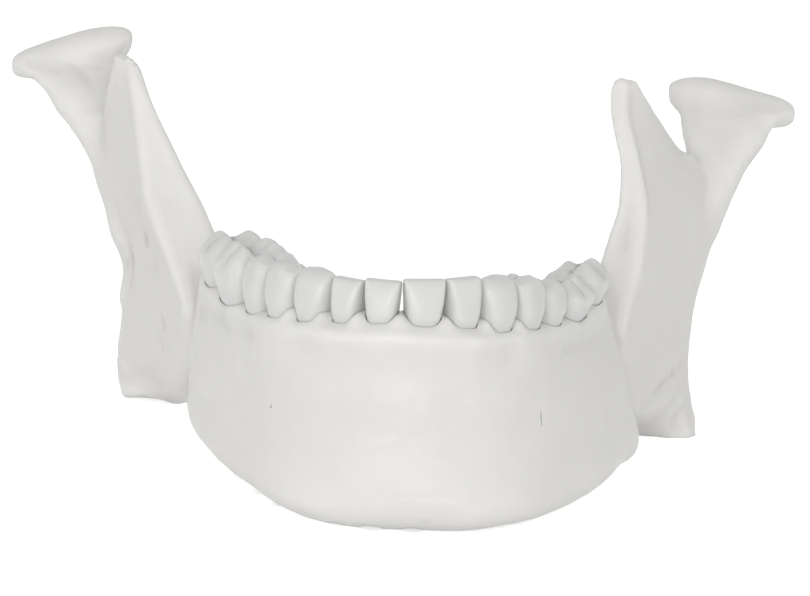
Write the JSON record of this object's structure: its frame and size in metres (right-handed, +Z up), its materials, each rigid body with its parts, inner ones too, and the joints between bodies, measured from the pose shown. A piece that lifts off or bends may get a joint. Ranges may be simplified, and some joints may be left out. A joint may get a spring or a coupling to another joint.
{
  "type": "typodont lower jaw model",
  "caption": "Life-size lower jaw for dental training, with both rami and condyles, and teeth that each pull straight up out of a socket once the screw below is undone.",
  "frame": {"origin": "middle of the flat under the chin, on the surface that the jaw rests on", "axes": "+Z up, -Y towards the front teeth, +X towards the jaw's own left side"},
  "size_m": [0.125, 0.109, 0.0554],
  "materials": {
    "jaw_plastic": "satin, slightly translucent cast resin",
    "tooth_plastic": "satin, smooth",
    "screw_steel": "turned steel"
  },
  "bodies": {
    "jaw": {"mandible": "jaw_plastic", "tooth_screws": "screw_steel"},
    "right_central_incisor": {"right_central_incisor": "tooth_plastic"},
    "right_lateral_incisor": {"right_lateral_incisor": "tooth_plastic"},
    "right_canine": {"right_canine": "tooth_plastic"},
    "right_first_premolar": {"right_first_premolar": "tooth_plastic"},
    "right_second_premolar": {"right_second_premolar": "tooth_plastic"},
    "right_first_molar": {"right_first_molar": "tooth_plastic"},
    "right_second_molar": {"right_second_molar": "tooth_plastic"},
    "left_central_incisor": {"left_central_incisor": "tooth_plastic"},
    "left_lateral_incisor": {"left_lateral_incisor": "tooth_plastic"},
    "left_canine": {"left_canine": "tooth_plastic"},
    "left_first_premolar": {"left_first_premolar": "tooth_plastic"},
    "left_second_premolar": {"left_second_premolar": "tooth_plastic"},
    "left_first_molar": {"left_first_molar": "tooth_plastic"},
    "left_second_molar": {"left_second_molar": "tooth_plastic"}
  },
  "joints": [
    {"name": "right_central_incisor_pull", "type": "slide", "parent": "jaw", "child": "right_central_incisor", "axis": [0, 0, 1], "range_m": [0, 0.025]},
    {"name": "right_lateral_incisor_pull", "type": "slide", "parent": "jaw", "child": "right_lateral_incisor", "axis": [0, 0, 1], "range_m": [0, 0.025]},
    {"name": "right_canine_pull", "type": "slide", "parent": "jaw", "child": "right_canine", "axis": [0, 0, 1], "range_m": [0, 0.025]},
    {"name": "right_first_premolar_pull", "type": "slide", "parent": "jaw", "child": "right_first_premolar", "axis": [0, 0, 1], "range_m": [0, 0.025]},
    {"name": "right_second_premolar_pull", "type": "slide", "parent": "jaw", "child": "right_second_premolar", "axis": [0, 0, 1], "range_m": [0, 0.025]},
    {"name": "right_first_molar_pull", "type": "slide", "parent": "jaw", "child": "right_first_molar", "axis": [0, 0, 1], "range_m": [0, 0.025]},
    {"name": "right_second_molar_pull", "type": "slide", "parent": "jaw", "child": "right_second_molar", "axis": [0, 0, 1], "range_m": [0, 0.025]},
    {"name": "left_central_incisor_pull", "type": "slide", "parent": "jaw", "child": "left_central_incisor", "axis": [0, 0, 1], "range_m": [0, 0.025]},
    {"name": "left_lateral_incisor_pull", "type": "slide", "parent": "jaw", "child": "left_lateral_incisor", "axis": [0, 0, 1], "range_m": [0, 0.025]},
    {"name": "left_canine_pull", "type": "slide", "parent": "jaw", "child": "left_canine", "axis": [0, 0, 1], "range_m": [0, 0.025]},
    {"name": "left_first_premolar_pull", "type": "slide", "parent": "jaw", "child": "left_first_premolar", "axis": [0, 0, 1], "range_m": [0, 0.025]},
    {"name": "left_second_premolar_pull", "type": "slide", "parent": "jaw", "child": "left_second_premolar", "axis": [0, 0, 1], "range_m": [0, 0.025]},
    {"name": "left_first_molar_pull", "type": "slide", "parent": "jaw", "child": "left_first_molar", "axis": [0, 0, 1], "range_m": [0, 0.025]},
    {"name": "left_second_molar_pull", "type": "slide", "parent": "jaw", "child": "left_second_molar", "axis": [0, 0, 1], "range_m": [0, 0.025]}
  ]
}
